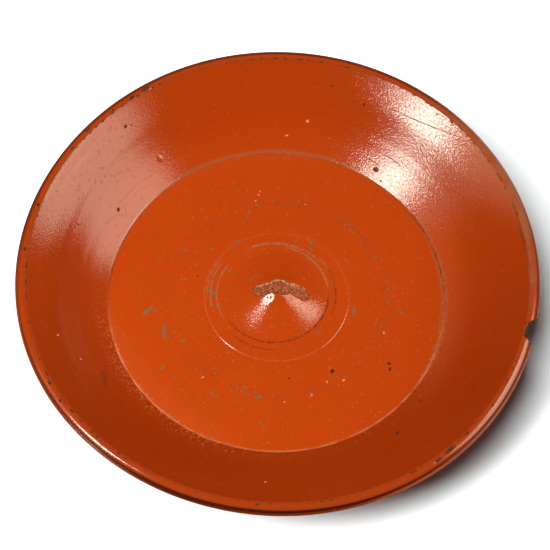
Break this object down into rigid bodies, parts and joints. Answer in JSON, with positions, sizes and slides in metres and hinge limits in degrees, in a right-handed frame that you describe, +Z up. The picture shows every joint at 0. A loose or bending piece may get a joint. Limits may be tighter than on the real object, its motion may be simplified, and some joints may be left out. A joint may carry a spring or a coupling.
{
  "type": "redware dish",
  "caption": "Wide shallow red-slipped pottery dish with a flaring wall, a moulded lip with a chip, a raised centre and a turned foot ring.",
  "frame": {"origin": "centre of the circle that the foot ring stands on, on the table", "axes": "+Z up along the turning axis; +X to the right of the picture, with the chip in the lip a little in front of it; +Y away from the viewer"},
  "size_m": [0.25, 0.25, 0.0453],
  "materials": {
    "red_gloss": "glossy red slip, worn to orange clay on the edges",
    "foot_gloss": "thin red slip, rubbed to bare clay on the standing face",
    "dried_slip": "matt fired slip"
  },
  "bodies": {
    "root": {"bowl_body": "red_gloss", "luting_slip": "dried_slip", "foot_ring": "foot_gloss"}
  },
  "joints": []
}
